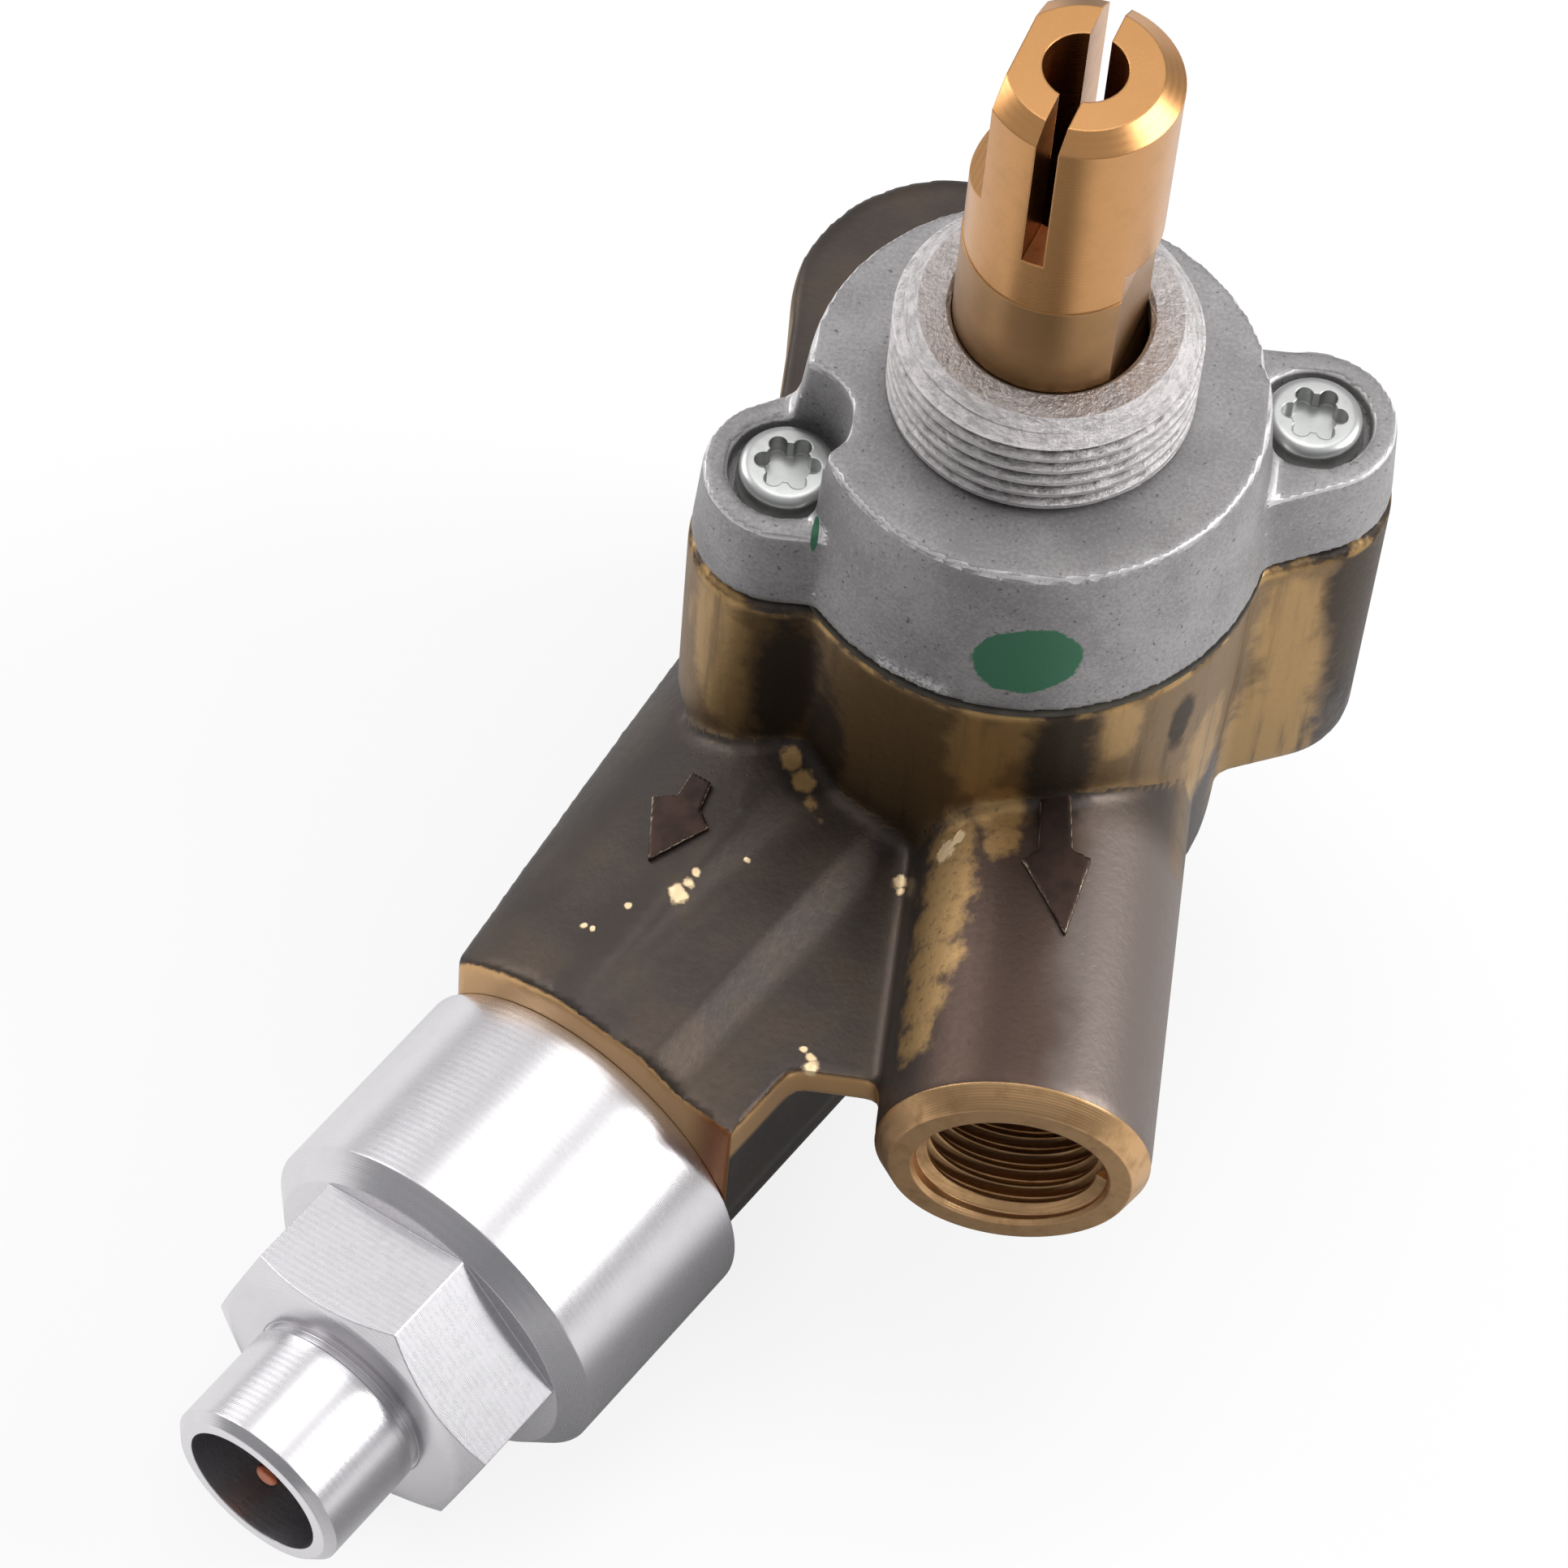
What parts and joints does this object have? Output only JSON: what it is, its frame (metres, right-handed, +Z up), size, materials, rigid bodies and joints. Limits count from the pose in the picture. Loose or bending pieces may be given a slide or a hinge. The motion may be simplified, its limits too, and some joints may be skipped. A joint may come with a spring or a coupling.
{
  "type": "angled gas valve",
  "caption": "Angled gas tap with a push-and-turn stem, a threaded panel collar, a side outlet and an oblique arm that holds a flame-failure magnet valve.",
  "frame": {"origin": "centre of the panel collar at the cover's top face, where the panel seats", "axes": "+Z up along the stem toward the knob, -Y along the outlet, +X toward the right-hand cover screw"},
  "size_m": [0.0567, 0.0765, 0.0742],
  "materials": {
    "forged_brass": "hot-forged, dark oxide with worn brass edges",
    "cast_cover": "die-cast, matt grey with pits",
    "gasket": "fibre sheet",
    "screw_zinc": "zinc plated, worn",
    "turned_brass": "machined, fine turning marks",
    "black_rubber": "moulded rubber",
    "inner_brass": "machined and greased",
    "inner_steel": "plain steel",
    "spring_steel": "drawn spring wire",
    "nut_aluminium": "turned bright",
    "nose_metal": "turned, bright",
    "insulator": "moulded insulator",
    "copper": "bare copper",
    "soft_iron": "ground pole faces"
  },
  "bodies": {
    "housing": {"valve_body": "forged_brass", "bonnet_cover": "cast_cover", "cover_gasket": "gasket", "cover_screw_left": "screw_zinc", "cover_screw_right": "screw_zinc", "lever_pivot_pin": "inner_steel", "magnet_nut": "nut_aluminium", "magnet_seal": "black_rubber", "magnet_base": "nose_metal", "magnet_can": "inner_steel", "contact_insulator": "insulator", "contact_pin": "copper", "magnet_core": "soft_iron", "magnet_coil": "copper"},
    "plug": {"taper_plug": "inner_brass"},
    "control_stem": {"stem": "turned_brass", "stem_o_ring": "black_rubber", "bypass_screw": "inner_brass", "push_rod": "inner_steel", "stem_return_spring": "spring_steel"},
    "lever": {"rocker_lever": "inner_steel"},
    "magnet_valve": {"valve_spindle": "inner_steel", "valve_disc": "black_rubber", "armature": "soft_iron", "valve_spring": "spring_steel"}
  },
  "joints": [
    {"name": "plug_turn", "type": "hinge", "parent": "housing", "child": "plug", "pos_m": [0, 0, 0], "axis": [0, 0, 1], "range_deg": [0, 180]},
    {"name": "stem_push", "type": "slide", "parent": "plug", "child": "control_stem", "axis": [0, 0, -1], "range_m": [0, 0.0032], "stiffness_N_per_m": 1500, "springref_m": -0.006, "deforming": ["stem_return_spring"]},
    {"name": "lever_rock", "type": "hinge", "parent": "housing", "child": "lever", "pos_m": [-0.00734, -0.00645, -0.0332], "axis": [-0.859, 0.512, 0], "range_deg": [0, 19.5]},
    {"name": "magnet_slide", "type": "slide", "parent": "housing", "child": "magnet_valve", "axis": [-0.512, -0.859, 0], "range_m": [0, 0.0014], "deforming": ["valve_spring"]}
  ],
  "couplings": [
    {"joint": "lever_rock", "follows": "stem_push", "rad_per_m": 104.72},
    {"joint": "magnet_slide", "follows": "stem_push", "ratio": 0.4375}
  ]
}
